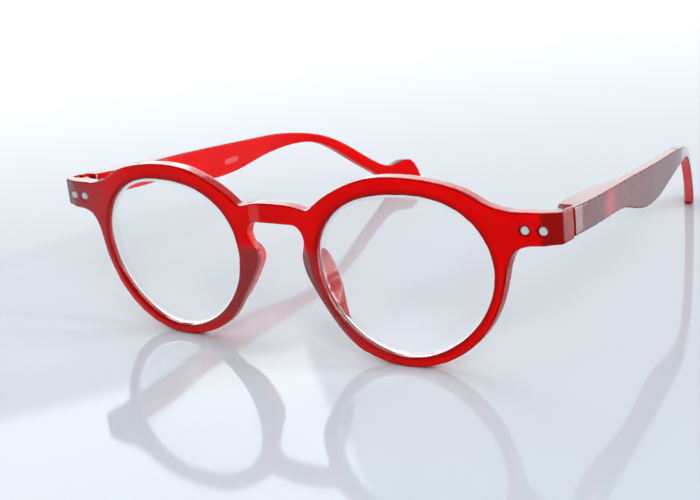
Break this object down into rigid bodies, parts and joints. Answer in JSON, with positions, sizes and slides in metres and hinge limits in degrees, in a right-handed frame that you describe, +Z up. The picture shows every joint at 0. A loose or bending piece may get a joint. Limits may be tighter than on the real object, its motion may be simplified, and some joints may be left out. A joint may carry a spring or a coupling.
{
  "type": "folding reading glasses",
  "caption": "Round plastic reading glasses with a keyhole bridge, clear lenses, and side arms that fold on sprung hinges.",
  "frame": {"origin": "middle of the footprint, on the surface the glasses stand on", "axes": "+X to the right as seen from in front, +Y back along the side arms, +Z up"},
  "size_m": [0.1398, 0.1472, 0.0435],
  "materials": {
    "frame_plastic": "satin-gloss saturated red",
    "lens": "clear, polished",
    "stud_metal": "flat silver discs",
    "hinge_metal": "dull nickel"
  },
  "bodies": {
    "front": {"front_frame": "frame_plastic", "left_lens": "lens", "left_rivets": "stud_metal", "left_hinge_plate": "hinge_metal", "left_hinge_screw": "hinge_metal", "right_lens": "lens", "right_rivets": "stud_metal", "right_hinge_plate": "hinge_metal", "right_hinge_screw": "hinge_metal"},
    "left_slider": {"left_slider": "hinge_metal", "left_rod_nut": "hinge_metal"},
    "left_arm": {"left_temple": "frame_plastic", "left_spring_case": "hinge_metal", "left_stop_bush": "hinge_metal", "left_spring": "hinge_metal"},
    "right_slider": {"right_slider": "hinge_metal", "right_rod_nut": "hinge_metal"},
    "right_arm": {"right_temple": "frame_plastic", "right_spring_case": "hinge_metal", "right_stop_bush": "hinge_metal", "right_spring": "hinge_metal"}
  },
  "joints": [
    {"name": "left_fold", "type": "hinge", "parent": "front", "child": "left_slider", "pos_m": [-0.0664, -0.0646, 0.0332], "axis": [0, 0, -1], "range_deg": [-4, 78]},
    {"name": "left_pull", "type": "slide", "parent": "left_slider", "child": "left_arm", "axis": [0, 1, 0], "range_m": [0, 0.0015], "stiffness_N_per_m": 2500, "springref_m": -0.0006, "deforming": ["left_spring"]},
    {"name": "right_fold", "type": "hinge", "parent": "front", "child": "right_slider", "pos_m": [0.0664, -0.0646, 0.0332], "axis": [0, 0, 1], "range_deg": [-4, 84]},
    {"name": "right_pull", "type": "slide", "parent": "right_slider", "child": "right_arm", "axis": [0, 1, 0], "range_m": [0, 0.0015], "stiffness_N_per_m": 2500, "springref_m": -0.0006, "deforming": ["right_spring"]}
  ]
}
